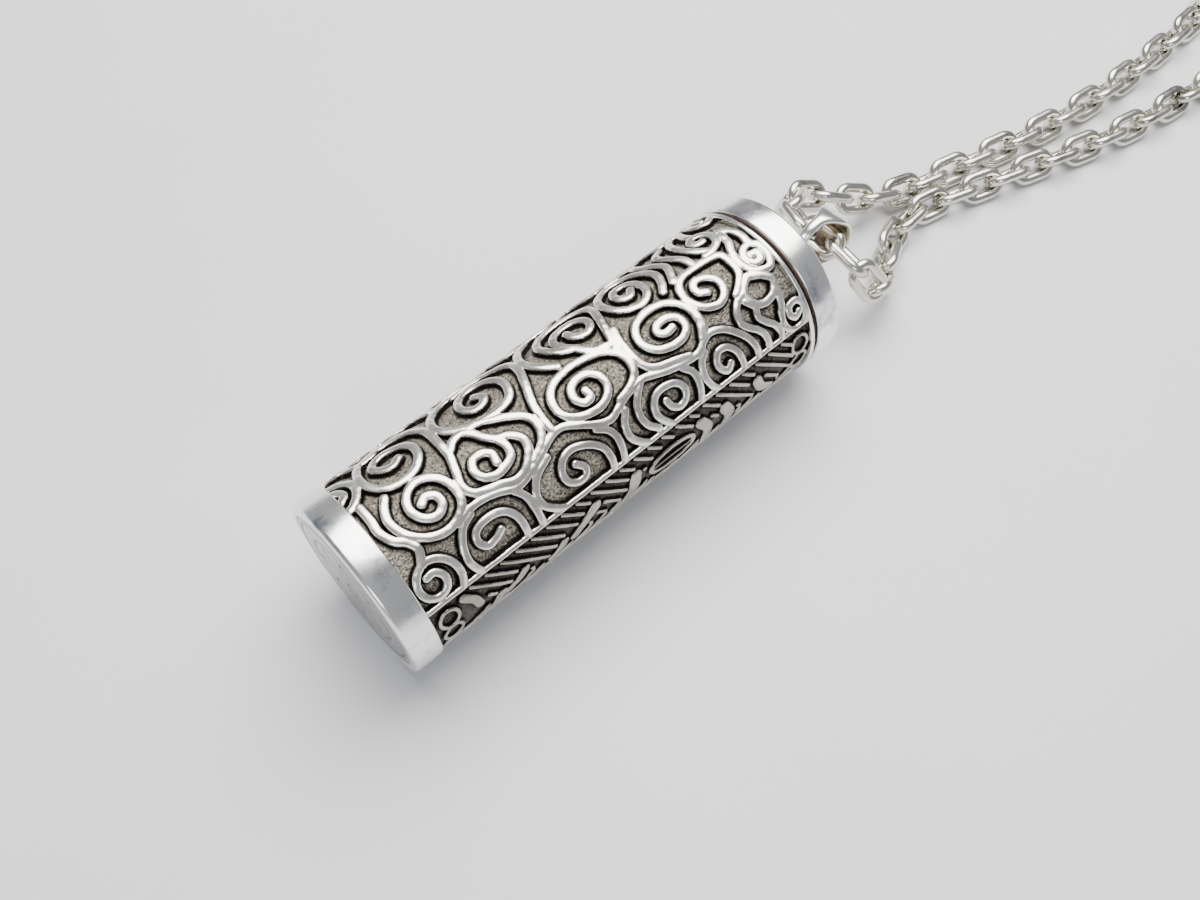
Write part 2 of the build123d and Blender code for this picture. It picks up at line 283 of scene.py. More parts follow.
class Nodes:
    """A small helper that builds a material's node tree."""

    def __init__(self, name):
        self.material = bpy.data.materials.new(name)
        self.material.use_nodes = True
        self.tree = self.material.node_tree
        self.shader = self.tree.nodes["Principled BSDF"]
        self.coordinate = self.tree.nodes.new("ShaderNodeTexCoord").outputs["Object"]

    def put(self, target, value):
        """Gives an input a number, a vector, a colour or another node's output."""
        if isinstance(value, bpy.types.NodeSocket):
            self.tree.links.new(value, target)
        elif target.type == "RGBA":
            target.default_value = (*value, 1)
        else:
            target.default_value = value

    def add(self, kind, inputs, **settings):
        """A node with its settings and inputs."""
        node = self.tree.nodes.new(kind)
        for key, value in settings.items():
            setattr(node, key, value)
        for key, value in inputs.items():
            self.put(node.inputs[key], value)
        return node

    def noise(self, per_mm, detail=3.0, roughness=0.55, stretch=(1, 1, 1), distortion=0.0):
        """Noise whose features are 1 / per_mm across, in mm."""
        mapping = self.add("ShaderNodeMapping", {"Vector": self.coordinate, "Scale": stretch})
        node = self.add("ShaderNodeTexNoise", {
            "Vector": mapping.outputs["Vector"], "Scale": per_mm * 1000, "Detail": detail,
            "Roughness": roughness, "Distortion": distortion})
        return node.outputs["Fac"]

    def attribute(self, name):
        return self.add("ShaderNodeAttribute", {}, attribute_name=name).outputs["Fac"]

    def ramp(self, value, stops):
        node = self.add("ShaderNodeValToRGB", {"Fac": value})
        elements = node.color_ramp.elements
        while len(elements) < len(stops):
            elements.new(0.5)
        for element, (place, colour) in zip(elements, stops):
            element.position = place
            element.color = (*colour, 1)
        return node.outputs["Color"]

    def range(self, value, low, high, to_low, to_high):
        node = self.add("ShaderNodeMapRange", {
            "Value": value, "From Min": low, "From Max": high, "To Min": to_low, "To Max": to_high})
        return node.outputs["Result"]

    def math(self, operation, a, b):
        return self.add("ShaderNodeMath", {0: a, 1: b}, operation=operation).outputs["Value"]

    def mix(self, factor, a, b):
        """A mix of two colours."""
        return self.add("ShaderNodeMix", {0: factor, 6: a, 7: b}, data_type="RGBA").outputs[2]

    def bump(self, heights):
        """Bump from (height, strength, depth in mm) layers."""
        normal = {}
        for height, strength, depth in heights:
            node = self.add("ShaderNodeBump", {
                "Height": height, "Strength": strength, "Distance": depth * MM, **normal})
            normal = {"Normal": node.outputs["Normal"]}
        self.set(**normal)

    def set(self, **values):
        """Gives the shader's inputs numbers or other nodes' outputs."""
        for key, value in values.items():
            self.put(self.shader.inputs[key.replace("_", " ")], value)


def polished_metal(name, light, dark, rough, brushed=(1, 1, 1), bump=0.35, warm=None, groove=None):
    """Metal with fine scratches, faint stains and uneven roughness; grooves may be filled with a colour."""
    n = Nodes(name)
    broad = n.noise(0.28, 4.0)
    fine = n.noise(9.0, 3.0, stretch=brushed)
    scratch = n.noise(3.2, 6.0, 0.7, stretch=tuple(v * 0.35 for v in brushed), distortion=0.8)
    cloud = n.math("ADD", broad, n.range(n.noise(1.3, 5.0, 0.7), 0.3, 0.7, -0.07, 0.07))
    colour = n.ramp(cloud, [(0.30, dark), (0.46, light), (0.60, light), (0.72, warm or light)])
    if groove:
        colour = n.mix(n.attribute("groove"), colour, groove)
    wander = n.math("ADD", n.range(broad, 0.3, 0.75, *rough), n.range(scratch, 0.55, 0.8, 0.0, 0.10))
    n.bump([(fine, bump * 0.5, 0.004), (scratch, bump, 0.006)])
    n.set(Base_Color=colour, Roughness=wander, Metallic=1.0)
    return n.material


def bail_with_painted_inside(name):
    """Polished outside; inside, brown and dark: a painted amber reflection and painted shade."""
    n = Nodes(name)
    broad = n.noise(0.5, 4.0)
    cloud = n.noise(1.1, 4.0, 0.6)
    fine = n.noise(7.0, 3.0)
    inside = n.attribute("inside")
    # The inside's colours: painted amber reflection in the light stops, and painted shade in the darkest
    # stop.
    inside_reflection_and_shade = n.ramp(cloud, [(0.34, (0.10, 0.075, 0.055)), (0.52, (0.30, 0.24, 0.17)),
                             (0.70, (0.62, 0.52, 0.38))])
    silver = n.ramp(broad, [(0.30, (0.66, 0.65, 0.62)), (0.55, (0.88, 0.87, 0.84))])
    uneven = n.math("ADD", n.range(inside, 0, 1, 0.20, 0.32), n.range(fine, 0.4, 0.8, 0, 0.08))
    n.bump([(fine, 0.3, 0.006), (cloud, 0.3, 0.02)])
    n.set(Base_Color=n.mix(inside, silver, inside_reflection_and_shade), Roughness=uneven, Metallic=1.0)
    return n.material


def cast_silver(name, top, top_dark, floor_light, floor_dark, foot, rough_top):
    """Relief silver: bright rubbed ridges, black feet that are partly oxide and partly painted shade, and a
    granular oxidised ground.
    """
    n = Nodes(name)
    height = n.attribute("height")
    shade = n.attribute("foot")
    broad = n.noise(0.35, 4.0)
    grain = n.noise(5.5, 2.0, 0.65)
    speck = n.noise(11.0, 1.0, 0.5)
    rub = n.noise(2.2, 4.0, 0.6)
    floor_middle = tuple((a + b) / 2 for a, b in zip(floor_dark, floor_light))
    ground = n.ramp(grain, [(0.36, floor_dark), (0.50, floor_middle), (0.66, floor_light)])
    # Black at the ridges' feet: partly oxide, partly painted shade.
    ground = n.mix(shade, ground, foot)
    metal = n.ramp(broad, [(0.32, top_dark), (0.58, top)])
    worn = n.math("ADD", height, n.range(rub, 0.3, 0.7, -0.08, 0.08))
    face = n.range(worn, 0.62, 0.88, 0.0, 1.0)
    rough_metal = n.math("ADD", n.range(broad, 0.3, 0.7, *rough_top), n.range(rub, 0.5, 0.8, 0.0, 0.12))
    rough_ground = n.range(speck, 0.3, 0.7, 0.26, 0.52)
    rough_mix = n.add("ShaderNodeMix", {0: face, 2: rough_ground, 3: rough_metal}, data_type="FLOAT")
    low = n.range(face, 0.0, 1.0, 1.0, 0.0)
    n.bump([(n.math("MULTIPLY", grain, low), 1.0, 0.14), (n.math("MULTIPLY", speck, low), 0.7, 0.06),
            (speck, 0.35, 0.008), (rub, 0.35, 0.02), (broad, 0.25, 0.05)])
    n.set(Base_Color=n.mix(face, ground, metal), Roughness=rough_mix.outputs[0], Metallic=1.0)
    return n.material


def rubber(name):
    n = Nodes(name)
    mottle = n.noise(1.5, 4.0)
    fibre = n.noise(8.0, 3.0)
    brown = n.ramp(mottle, [(0.3, (0.030, 0.014, 0.008)), (0.7, (0.085, 0.042, 0.022))])
    n.bump([(fibre, 0.5, 0.02)])
    n.set(Base_Color=brown, Roughness=n.range(fibre, 0.3, 0.7, 0.55, 0.8), Metallic=0.0)
    return n.material


def tape(name):
    n = Nodes(name)
    along = n.noise(0.9, 4.0)
    weave = n.add("ShaderNodeTexWave", {"Vector": n.coordinate, "Scale": 900.0, "Distortion": 1.2})
    cotton = n.ramp(along, [(0.3, (0.60, 0.55, 0.46)), (0.7, (0.74, 0.70, 0.61))])
    n.bump([(weave.outputs["Fac"], 0.5, 0.05), (along, 0.3, 0.04)])
    n.set(Base_Color=cotton, Metallic=0.0, Roughness=0.85)
    return n.material


# The looks: each is its slot and its material
SILVER = ("polished_silver", polished_metal(
    "polished_silver", (0.93, 0.92, 0.90), (0.42, 0.44, 0.49), (0.15, 0.29), brushed=(0.2, 1.6, 1.6),
    warm=(0.86, 0.76, 0.62)))
# The end plate's silver is dark grey all over: a painted dark reflection, so the plate does not mirror the
# pale floor.
PLATE_PAINTED_SHADE = ("satin_silver", polished_metal(
    "satin_silver", (0.34, 0.335, 0.33), (0.20, 0.20, 0.21), (0.22, 0.32), bump=0.5,
    groove=(0.02, 0.018, 0.018)))
INNER = ("satin_silver", polished_metal(
    "inner_silver", (0.74, 0.72, 0.68), (0.55, 0.52, 0.48), (0.24, 0.36), brushed=(3.0, 0.4, 0.4), bump=0.5))
DARK = ("oxidised_silver", cast_silver(
    "oxidised_silver", (0.94, 0.92, 0.87), (0.80, 0.75, 0.66), (0.50, 0.455, 0.38), (0.085, 0.076, 0.064),
    (0.010, 0.008, 0.007), (0.19, 0.32)))
# The panel's colours are the relief silver's, made darker all over: painted shade, as if the panel lay in
# shadow.
PANEL = ("oxidised_silver", cast_silver(
    "panel_painted_shade", (0.45, 0.425, 0.375), (0.27, 0.25, 0.215), (0.13, 0.118, 0.10), (0.03, 0.026, 0.022),
    (0.008, 0.007, 0.006), (0.20, 0.34)))
CHAIN = ("chain_steel", polished_metal(
    "chain_steel", (0.68, 0.66, 0.595), (0.40, 0.385, 0.335), (0.16, 0.27)))
CLASP = ("clasp_steel", polished_metal(
    "clasp_steel", (0.60, 0.59, 0.56), (0.36, 0.355, 0.34), (0.17, 0.28)))
BAIL = ("polished_silver", bail_with_painted_inside("bail_silver"))
RUBBER = ("gasket_rubber", rubber("gasket_rubber"))
TAPE = ("tie_thread", tape("tie_thread"))


def dress(obj, look, body, *nodes):
    """Gives a new piece its look's material and its place in the frame."""
    slot, material = look
    obj.data.materials.append(material)
    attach(obj, body)
    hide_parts(*nodes)
    return obj


# -------- the relief

# Ridge lines of the scrolls: (mm along the body from its middle, mm round from its top).
ROW_A = [
    [(-19.2, -5.1), (-18.2, -4.6), (-17.5, -3.6), (-17.7, -2.4), (-18.5, -1.5), (-19.2, -1.3)],
    [(-19.2, -4.1), (-18.6, -3.6), (-18.5, -2.9), (-19.2, -2.3)],
    [(-13.9, -2.9), (-14.6, -2.5), (-15.3, -2.8), (-15.75, -3.5), (-15.3, -4.2), (-14.3, -4.45),
     (-13.2, -4.0), (-12.6, -3.1), (-12.7, -2.0), (-13.4, -1.1), (-14.5, -0.75), (-15.8, -1.0),
     (-16.7, -1.9), (-16.95, -3.2), (-16.6, -4.6), (-15.8, -5.6), (-14.4, -6.0), (-12.9, -5.8),
     (-11.7, -5.0), (-11.1, -3.6), (-11.1, -2.0), (-11.2, -0.3)],
    [(-6.7, -3.5), (-6.25, -2.9), (-6.7, -2.3), (-7.5, -2.25), (-8.05, -2.95), (-7.95, -3.9), (-7.3, -4.7),
     (-6.3, -4.95), (-5.2, -4.5), (-4.5, -3.4), (-4.5, -2.3), (-5.0, -1.3), (-6.0, -0.85), (-7.6, -0.9),
     (-9.1, -1.3), (-10.2, -2.2), (-10.5, -3.4), (-10.0, -4.7), (-8.8, -5.7), (-7.2, -6.1), (-5.2, -5.9),
     (-3.6, -5.1), (-2.85, -4.2), (-2.9, -2.9), (-3.4, -1.5), (-3.95, -0.2)],
    [(-0.6, -6.0), (-1.6, -5.2), (-2.2, -4.0), (-2.2, -2.8), (-1.6, -1.7), (-0.8, -0.9)],
    [(1.8, -3.1), (1.9, -2.4), (2.5, -1.95), (3.2, -2.0), (3.7, -2.7), (3.5, -3.6), (2.6, -4.15),
     (1.4, -4.0), (0.6, -3.3), (0.6, -2.4), (1.1, -1.5), (1.6, -0.6), (2.3, 0.0), (3.1, 0.2)],
    [(1.0, -1.4), (0.3, -1.9), (-0.3, -2.8), (-0.5, -3.8), (0.1, -4.8), (1.4, -5.4), (3.0, -5.4),
     (4.3, -4.9), (4.8, -3.9), (4.5, -2.6), (4.1, -1.3), (3.7, 0.0), (3.5, 0.9)],
    [(8.05, -2.95), (7.6, -2.4), (6.95, -2.6), (6.75, -3.3), (7.1, -4.0), (7.9, -4.15), (8.6, -3.6),
     (8.9, -2.7), (8.7, -1.7), (7.9, -1.05), (6.8, -1.15), (5.9, -1.9), (5.5, -3.0), (5.7, -4.2),
     (6.6, -5.1), (7.9, -5.4), (9.2, -4.8), (10.1, -3.7), (10.4, -2.6), (10.1, -1.6), (9.5, -0.7)],
    [(10.3, -6.0), (10.4, -4.8), (11.1, -3.7), (11.5, -2.7), (11.2, -1.8), (10.7, -0.9)],
    [(12.9, -5.4), (12.1, -4.8), (12.0, -4.0), (12.5, -3.0), (12.9, -2.1), (13.0, -1.0)],
    [(14.4, -6.0), (13.7, -4.9), (13.6, -3.5), (14.0, -2.3), (14.8, -1.4)],
    [(15.3, -2.6), (14.75, -2.75), (14.6, -3.3), (15.1, -3.7), (15.8, -3.4), (16.2, -2.6), (16.0, -1.7),
     (15.2, -1.25), (14.3, -1.1)],
    [(15.4, -6.0), (15.15, -4.9), (15.2, -3.8)],
    [(16.4, -6.0), (16.6, -5.0), (17.4, -4.5), (18.2, -5.0)],
]
ROW_B = [
    [(-18.3, -1.1), (-18.3, 0.3), (-18.4, 1.4), (-18.0, 2.5), (-17.3, 3.2), (-17.0, 4.0), (-17.4, 5.0)],
    [(-14.95, 1.6), (-14.4, 1.3), (-13.8, 1.7), (-13.8, 2.45), (-14.5, 2.9), (-15.3, 2.6), (-15.8, 1.8),
     (-15.7, 0.9), (-15.1, 0.2), (-14.2, -0.05), (-13.3, 0.3), (-12.7, 1.1), (-12.45, 2.2), (-12.7, 3.2),
     (-13.6, 3.95), (-14.9, 4.15), (-16.2, 3.6), (-17.1, 2.6), (-17.45, 1.4), (-17.2, 0.4), (-16.6, -0.5)],
    [(-11.2, -0.2), (-11.6, 1.0), (-12.0, 2.3), (-11.6, 3.2), (-10.6, 3.6), (-9.6, 3.9), (-8.7, 4.25),
     (-7.8, 4.1), (-7.0, 3.5), (-6.5, 2.8), (-6.5, 2.0), (-7.1, 1.3), (-7.9, 1.0), (-8.5, 0.3),
     (-8.9, -0.5), (-9.5, -1.1), (-10.3, -1.0), (-10.9, -0.5)],
    [(-9.0, 2.4), (-8.9, 1.7), (-9.4, 1.2), (-10.2, 1.2), (-10.65, 1.9), (-10.4, 2.7), (-9.6, 3.1),
     (-8.7, 3.0), (-7.9, 2.6), (-7.7, 1.8), (-7.9, 1.1)],
    [(-8.9, -1.1), (-8.0, -1.0), (-7.2, -0.5), (-6.2, 0.1), (-5.3, 0.8), (-4.95, 1.7), (-5.2, 2.7),
     (-5.8, 3.4), (-6.8, 3.9)],
    [(-3.95, -0.2), (-4.25, 0.7), (-4.4, 1.8), (-4.4, 3.0)],
    [(-0.55, 2.05), (-0.55, 2.65), (-1.2, 2.75), (-1.6, 2.1), (-1.3, 1.3), (-0.5, 0.95), (0.4, 1.1),
     (1.0, 1.8), (1.0, 2.7), (0.4, 3.4), (-0.6, 3.7), (-1.8, 3.5), (-2.8, 2.9), (-3.2, 2.0), (-2.9, 0.9),
     (-2.0, 0.1), (-0.6, -0.2), (0.8, -0.1), (2.2, 0.3), (3.2, 1.1), (3.5, 2.1), (3.3, 3.1), (2.4, 3.8),
     (1.1, 4.2)],
    [(7.9, 2.15), (7.2, 2.2), (6.7, 1.8), (7.1, 1.3), (8.0, 1.25), (8.75, 1.8), (8.8, 2.7), (8.1, 3.25),
     (7.0, 3.3), (5.9, 2.9), (5.25, 2.1), (5.2, 1.2), (5.8, 0.3), (7.0, -0.15), (8.4, 0.0), (9.4, 0.7),
     (9.95, 1.8), (9.9, 3.1), (9.3, 4.2)],
    [(4.4, -0.6), (4.0, 0.6), (3.9, 2.0), (4.2, 3.2), (5.0, 3.9), (6.4, 4.3), (7.6, 4.7)],
    [(12.0, 1.55), (11.45, 1.2), (11.5, 0.5), (12.1, 0.2), (12.9, 0.6), (13.35, 1.4), (13.1, 2.3),
     (12.3, 2.85), (11.3, 2.6), (10.6, 1.9), (10.3, 0.9), (10.6, -0.1), (11.4, -0.75), (12.8, -0.85),
     (14.2, -0.7), (15.1, -0.4), (15.25, 0.6), (15.1, 1.8), (14.4, 2.6), (13.7, 3.1)],
    [(10.1, 2.2), (10.0, 3.3), (9.6, 4.2)],
    [(15.4, 2.45), (16.4, 3.0), (17.0, 3.8), (16.4, 4.7), (15.4, 4.95), (14.5, 4.5), (14.25, 3.5),
     (14.8, 2.8), (15.4, 2.45)],
    [(17.0, 1.2), (17.45, 1.35), (17.3, 1.95), (16.7, 1.9), (16.4, 1.2), (16.7, 0.55), (17.4, 0.35),
     (18.0, 0.9), (18.1, 1.9), (17.6, 2.8), (16.7, 2.7), (16.0, 2.1), (15.75, 1.1), (16.0, 0.0),
     (16.5, -0.9), (16.7, -2.0)],
    [(16.7, -2.4), (17.4, -1.9), (17.7, -0.9), (17.6, 0.2)],
]
ROW_C = [
    [(-13.8, 4.2), (-12.6, 3.9), (-11.4, 3.9), (-10.2, 4.2), (-9.0, 4.7), (-8.0, 4.6), (-7.0, 4.2),
     (-5.8, 3.7), (-4.6, 3.2), (-3.6, 3.2), (-2.6, 3.8), (-1.5, 4.5), (-0.3, 4.9), (0.8, 4.5), (2.0, 4.1),
     (3.4, 3.9), (4.4, 4.2), (5.6, 4.6), (7.2, 4.9), (8.4, 4.9), (9.3, 4.4), (10.1, 4.2), (11.1, 4.6),
     (12.0, 5.5), (12.7, 6.6), (12.95, 7.6), (12.9, 8.5)],
    [(-17.7, 6.0), (-17.0, 6.0), (-16.55, 6.7), (-16.8, 7.5), (-17.6, 7.8), (-18.35, 7.3), (-18.6, 6.4),
     (-18.2, 5.5), (-17.3, 5.0), (-16.3, 5.3), (-15.6, 6.2), (-15.45, 7.3), (-15.8, 8.4)],
    [(-11.5, 6.5), (-12.1, 6.8), (-12.9, 6.9), (-13.35, 6.2), (-13.1, 5.5), (-12.2, 5.2), (-11.1, 5.3),
     (-10.3, 5.9), (-9.95, 6.9), (-9.95, 8.5)],
    [(-12.7, 4.2), (-13.7, 4.7), (-14.4, 5.8), (-14.6, 7.1), (-14.1, 8.5)],
    [(-9.3, 4.7), (-8.75, 5.6), (-8.6, 6.8), (-8.6, 8.5)],
    [(-4.4, 6.0), (-3.9, 6.6), (-4.1, 7.2), (-4.8, 7.3), (-5.5, 6.8), (-5.6, 5.9), (-5.0, 5.1), (-4.0, 4.9),
     (-2.8, 5.4), (-1.95, 6.3), (-1.75, 7.4), (-1.9, 8.5)],
    [(-5.9, 4.3), (-7.2, 4.9), (-8.0, 5.9), (-8.0, 7.0), (-7.3, 7.9), (-6.4, 8.5)],
    [(-1.7, 4.8), (-0.9, 5.5), (-0.6, 6.6), (-0.9, 8.5)],
    [(4.15, 6.4), (4.4, 7.1), (5.0, 7.5), (5.7, 7.2), (5.95, 6.4), (5.5, 5.7), (4.6, 5.4), (3.7, 5.5),
     (3.1, 6.1), (3.0, 7.0), (3.5, 7.9), (4.0, 8.5)],
    [(1.0, 5.0), (0.35, 5.9), (0.3, 7.0), (0.9, 7.9), (1.6, 8.5)],
    [(3.3, 3.9), (2.6, 4.5), (2.0, 5.2), (1.75, 6.1), (2.0, 7.1), (2.7, 7.9)],
    [(6.6, 5.1), (7.2, 5.9), (7.2, 7.1), (6.8, 8.5)],
    [(10.35, 7.2), (9.9, 7.6), (9.4, 7.1), (9.3, 6.4), (9.8, 5.8), (10.6, 5.9), (11.2, 6.6), (11.4, 7.5),
     (11.4, 8.5)],
    [(8.8, 5.1), (8.1, 5.8), (7.9, 6.9), (8.2, 7.9), (8.7, 8.5)],
    [(14.3, 3.3), (13.4, 3.6), (12.8, 4.3), (12.65, 5.1), (13.1, 5.8), (13.7, 6.4), (14.1, 7.2),
     (14.1, 8.5)],
    [(13.9, 3.9), (14.4, 4.7), (14.2, 5.5), (14.6, 6.2), (15.2, 6.9), (15.5, 7.7), (15.4, 8.5)],
    [(17.0, 3.9), (16.7, 5.0), (16.5, 5.8), (16.1, 6.6)],
    [(17.7, 7.25), (17.2, 7.5), (16.8, 7.0), (17.0, 6.4), (17.8, 6.3), (18.3, 7.0), (18.1, 8.0),
     (17.3, 8.5), (16.4, 8.2), (16.0, 7.3), (16.2, 6.3)],
]
# Round the back come rows A and B again, mirrored and one step on, and all three rows turned half round.
ROW_STEP = 10.4
TURN_ABOUT = -22.3


def smooth_line(points, spacing=0.09):
    """A smooth line through given points."""
    p = np.array(points, dtype=float)
    p = np.vstack([2 * p[0] - p[1], p, 2 * p[-1] - p[-2]])
    samples = []
    for a, b, c, d in zip(p, p[1:], p[2:], p[3:]):
        steps = max(2, int(np.linalg.norm(c - b) / spacing))
        t = np.arange(steps)[:, None] / steps
        samples.append(0.5 * (2 * b + (c - a) * t + (2 * a - 5 * b + 4 * c - d) * t ** 2
                              + (3 * b - a - 3 * c + d) * t ** 3))
    samples.append(p[-2:-1])
    return np.vstack(samples)


def sleeve_ridges():
    """Every ridge of the sleeve as (points, half width): the drawn rows, and the same rows again behind."""
    ridges = []
    for row, half in ((ROW_A, 0.37), (ROW_B, 0.37), (ROW_C, 0.34)):
        for line in row:
            points = smooth_line(line)
            ridges.append((points, half))
            ridges.append((np.array([0.0, TURN_ABOUT]) - points, half))
            if row is not ROW_C:
                ridges.append((points * np.array([-1.0, 1.0]) - np.array([0.0, ROW_STEP]), half))
    last = PANEL_START_DEG * ARC_MM
    first = last - (360 - PANEL_SPAN_DEG) * ARC_MM
    inset = 0.06
    for v in (last - inset, first + inset):
        ridges.append((smooth_line([(-19.2, v), (0.0, v), (18.4, v)]), 0.32))
    return ridges


# The panel's leaves, measured from its upper edge: a line down the middle of each, and its half width.
PANEL_LEAVES = [
    ([(-16.2, 1.0), (-15.5, 1.9), (-15.2, 2.9)], 0.42), ([(-13.3, 3.9), (-13.9, 4.9), (-14.8, 5.7)], 0.52),
    ([(-11.1, 3.0), (-11.8, 3.8), (-12.7, 4.3)], 0.46), ([(-7.4, 3.5), (-7.9, 4.3), (-8.6, 4.8)], 0.44),
    ([(-4.2, 2.0), (-5.2, 2.8), (-6.4, 3.9)], 0.50), ([(-0.3, 2.3), (-0.7, 4.0), (-1.9, 5.8)], 0.62),
    ([(6.4, 2.0), (7.1, 3.3), (7.0, 4.9)], 0.56), ([(8.9, 2.4), (9.5, 3.9), (9.2, 5.7)], 0.58),
    ([(12.4, 2.2), (12.9, 3.5), (14.0, 4.6)], 0.50),
]
PANEL_OVAL = (3.4, 3.2, 2.2, 1.1)
BAR_STEP = 1.4
BAR_CLEARANCE = 0.85
BARS_END = 16.4


def oval_line(u, w, half_along, half_across, count):
    """A closed oval as a line of points."""
    angles = np.linspace(0, 2 * math.pi, count)
    return np.stack([u + half_along * np.cos(angles), w + half_across * np.sin(angles)], axis=1)


def panel_ridges():
    """The panel's lines: slanting bars that meet in the middle, an open oval, leaves and scalloped ends."""
    width = PANEL_SPAN_DEG * ARC_MM
    ridges = [(smooth_line(line, 0.05), half) for line, half in PANEL_LEAVES]
    ridges.append((oval_line(*PANEL_OVAL, 120), 0.26))
    u, w, half_along, _ = PANEL_OVAL
    ridges.append((smooth_line([(u - half_along, w), (u, w), (u + half_along, w)]), 0.12))
    motifs = np.vstack([points for points, _ in ridges])
    for k in range(-13, 13):
        start = k * BAR_STEP
        for edge, middle in ((0.5, width / 2 - 0.1), (width - 0.5, width / 2 + 0.3)):
            bar = smooth_line([(start, edge), (start + 1.9, (edge + middle) / 2), (start + 3.6, middle)])
            gap = np.min(np.linalg.norm(bar[:, None] - motifs[None], axis=2), axis=1)
            bar = bar[(gap > BAR_CLEARANCE) & (np.abs(bar[:, 0]) < BARS_END)]
            if len(bar) > 4:
                ridges.append((bar, 0.21))
    for u in (-17.7, 17.2):
        for w in (1.9, width / 2, width - 1.9):
            ridges.append((oval_line(u, w, 0.8, 0.95, 40), 0.2))
    for w in (0.05, width - 0.05):
        ridges.append((smooth_line([(-18.9, w), (0.0, w), (18.1, w)]), 0.2))
    return ridges


def ridge_field(u, v, ridges):
    """How far each point lies outside the nearest ridge's edge, in mm; negative on a ridge."""
    far = 9.0
    outside = np.full(len(u), far)
    for half in sorted({half for _, half in ridges}):
        lines = np.vstack([points for points, width in ridges if width == half])
        tree = KDTree(len(lines))
        for i, (x, y) in enumerate(lines.tolist()):
            tree.insert((x, y, 0.0), i)
        tree.balance()
        distance = np.array([tree.find((x, y, 0.0))[2] for x, y in zip(u.tolist(), v.tolist())])
        outside = np.minimum(outside, distance - half)
    return outside


def ease(t):
    """A smooth step from 0 to 1."""
    t = np.clip(t, 0, 1)
    return t * t * (3 - 2 * t)


def waves(u, v, size, seed):
    """Smooth unevenness from -1 to 1 with features about size across."""
    rng = np.random.default_rng(seed)
    total = np.zeros_like(u)
    for _ in range(9):
        angle, phase = rng.uniform(0, 2 * math.pi, 2)
        k = 2 * math.pi / (size * rng.uniform(0.7, 1.6))
        total += np.sin(k * (u * math.cos(angle) + v * math.sin(angle)) + phase)
    return total / 4.5


def relief_shell(name, ridges, start_deg, span_deg, zero_deg, ridge_r):
    """The outer face of the sleeve or the panel with its relief, and its edges down to the tube."""
    x0, x1 = SLEEVE_START + GAP, LIP_START - GAP
    margin = math.degrees(GAP / OUTER_R)
    a0, a1 = start_deg + margin, start_deg + span_deg - margin
    nu = int((x1 - x0) / CELL) + 1
    nv = int((a1 - a0) * ARC_MM / CELL) + 1
    x, angle = np.meshgrid(np.linspace(x0, x1, nu), np.linspace(a0, a1, nv), indexing="ij")
    x, angle = x.ravel(), angle.ravel()
    u, v = x - BODY_MID, (angle - zero_deg) * ARC_MM
    outside = ridge_field(u, v, ridges)
    height = ease(0.5 - outside / WALL)
    # Marks the ridges' feet for black: partly oxide, partly painted shade at the walls.
    foot = 1 - ease((outside - FOOT_START) / FOOT_WIDTH)
    crown = CROWN * np.clip(1 + outside / CROWN_WIDTH, 0, 1) ** 2
    worn = 0.02 * waves(u, v, 2.1, 8) + 0.012 * waves(u, v, 0.8, 9)
    grain = 0.5 * waves(u, v, 0.42, 3) + 0.5 * waves(u, v, 0.24, 5)
    r = FLOOR_R + 0.03 * grain * (1 - height) + height * (ridge_r - FLOOR_R - 0.02 - crown + worn)
    outer = turned(x, r, -np.radians(angle))
    inner = turned(x, TUBE_OUTER_R + GAP, -np.radians(angle))
    index = np.arange(nu * nv).reshape(nu, nv)
    border = np.concatenate([index[0, :-1], index[:-1, -1], index[-1, :0:-1], index[:0:-1, 0]]).tolist()
    count = len(border)
    walls = []
    for i, after in enumerate(list(range(1, count)) + [0]):
        walls.append([nu * nv + after, nu * nv + i, border[i], border[after]])
    face = [quad[::-1] for quad in grid_faces(nu, nv)]
    attributes = {"height": np.concatenate([height, np.zeros(count)]),
                  "foot": np.concatenate([foot, np.ones(count)])}
    return make_mesh(name, np.vstack([outer, inner[border]]), face + walls, attributes, sharp_deg=None)


# -------- vessel

def build_vessel():
    plate_back = BASE_X + PLATE_THICKNESS
    sleeve_inner_r = TUBE_OUTER_R + GAP
    band = lathe("base_ring", [(BASE_X, PLATE_R + GAP, 0.05), (BASE_X, OUTER_R, 0.34),
                               (SLEEVE_START, OUTER_R, 0.15), (SLEEVE_START, sleeve_inner_r, 0),
                               (plate_back, sleeve_inner_r, 0), (plate_back, PLATE_R + GAP, 0)], 256)
    dress(band, SILVER, "vessel", "base_band")
    dress(base_disc(), PLATE_PAINTED_SHADE, "vessel", "base_plate")
    tube_start = plate_back + GAP
    tube = lathe("inner_tube", [(tube_start, TUBE_INNER_R, 0.1), (tube_start, TUBE_OUTER_R, 0.1),
                                (LIP_START, TUBE_OUTER_R, 0.05), (LIP_START, TUBE_INNER_R, 0.05)], 160)
    dress(tube, INNER, "vessel", "vial_tube")
    sleeve = relief_shell("scroll_sleeve", sleeve_ridges(), PANEL_START_DEG + PANEL_SPAN_DEG - 360,
                          360 - PANEL_SPAN_DEG, 0.0, RIDGE_R)
    dress(sleeve, DARK, "vessel", "relief_sleeve")
    panel = relief_shell("hatched_panel", panel_ridges(), PANEL_START_DEG, PANEL_SPAN_DEG, PANEL_START_DEG,
                         PANEL_RIDGE_R)
    dress(panel, PANEL, "vessel", "seam_panel")
    lip = lathe("bright_lip", [(LIP_START, sleeve_inner_r, 0), (LIP_START, OUTER_R, 0.12),
                               (MOUTH_X, OUTER_R, 0.15), (MOUTH_X, sleeve_inner_r, 0.03)], 256)
    dress(lip, SILVER, "vessel", "mouth_lip")
    dress(threaded_bush(), INNER, "vessel", "mouth_bush")


def engraved_line(distance, half_width):
    """How deep a round-bottomed line is cut, from 0 to 1, at a distance from its middle."""
    return np.exp(-(distance / half_width) ** 2)


